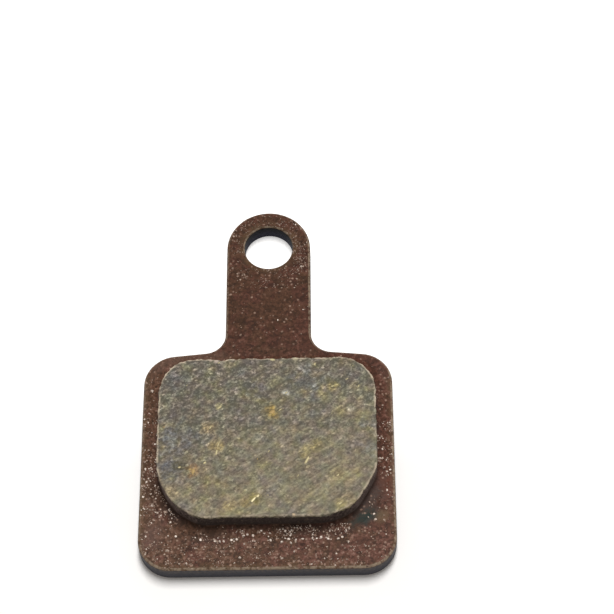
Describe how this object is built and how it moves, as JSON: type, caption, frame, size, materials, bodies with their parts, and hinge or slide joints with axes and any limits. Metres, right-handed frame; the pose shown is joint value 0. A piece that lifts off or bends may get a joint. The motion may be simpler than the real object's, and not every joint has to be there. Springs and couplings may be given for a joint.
{
  "type": "bicycle disc brake pad",
  "caption": "Disc brake pad: a stamped steel plate with sloping shoulders and a round-ended tab with a pin hole, carrying a ground moulded friction block.",
  "frame": {"origin": "axis of the pad pin hole, in the plane of the back face", "axes": "+Y from the pin hole to the round end of the tab, +Z out of the friction face, +X to the right seen from the front"},
  "size_m": [0.023, 0.0372, 0.0037],
  "materials": {
    "plate_coat": "satin red-brown bonding coat over blasted steel, with bright grains",
    "friction_compound": "matte ground grey-olive resin compound with brass and copper bits"
  },
  "bodies": {
    "root": {"backing_plate": "plate_coat", "friction_block": "friction_compound"}
  },
  "joints": []
}
